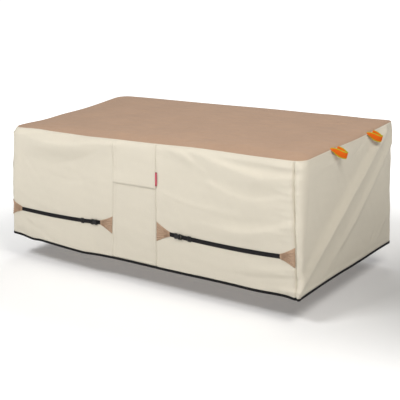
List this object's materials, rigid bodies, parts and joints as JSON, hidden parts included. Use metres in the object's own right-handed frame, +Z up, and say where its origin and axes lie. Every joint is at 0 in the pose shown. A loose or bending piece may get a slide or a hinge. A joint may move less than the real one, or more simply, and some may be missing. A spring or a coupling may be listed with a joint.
{
  "type": "patio dining set cover",
  "caption": "Fitted rectangular fabric cover with a flat brown top and straight cream walls, cinch straps with buckles on the front, lifting handles on one end and a bound hem.",
  "frame": {"origin": "under the middle of the top, on the inside face of the cloth, where the table holds the cover", "axes": "+X along the length towards the end with the handles, +Y from the strapped front to the back, +Z up"},
  "size_m": [2.0073, 1.1543, 0.7452],
  "materials": {
    "top_cloth": "coated woven polyester, matt",
    "wall_cloth": "coated woven polyester, matt",
    "patch_cloth": "coated woven polyester, gathered",
    "black_tape": "woven tape and webbing, matt",
    "black_plastic": "moulded plastic, fine grain",
    "orange_webbing": "woven webbing with yellow-green edges",
    "red_tape": "woven tape, bare"
  },
  "bodies": {
    "root": {"top_panel": "top_cloth", "front_left_panel": "wall_cloth", "front_centre_upper": "wall_cloth", "front_centre_lower": "wall_cloth", "front_right_panel": "wall_cloth", "right_end_panel": "wall_cloth", "back_panel": "wall_cloth", "left_end_panel": "wall_cloth", "hem_binding": "black_tape", "strap_patch_a": "patch_cloth", "strap_patch_b": "patch_cloth", "strap_left_long": "black_tape", "strap_left_short": "black_tape", "buckle_left_socket": "black_plastic", "buckle_left_plug": "black_plastic", "slide_left": "black_plastic", "strap_patch_c": "patch_cloth", "strap_patch_d": "patch_cloth", "strap_right_long": "black_tape", "strap_right_short": "black_tape", "buckle_right_socket": "black_plastic", "buckle_right_plug": "black_plastic", "slide_right": "black_plastic", "handle_near": "orange_webbing", "handle_far": "orange_webbing", "side_tab": "red_tape"}
  },
  "joints": []
}
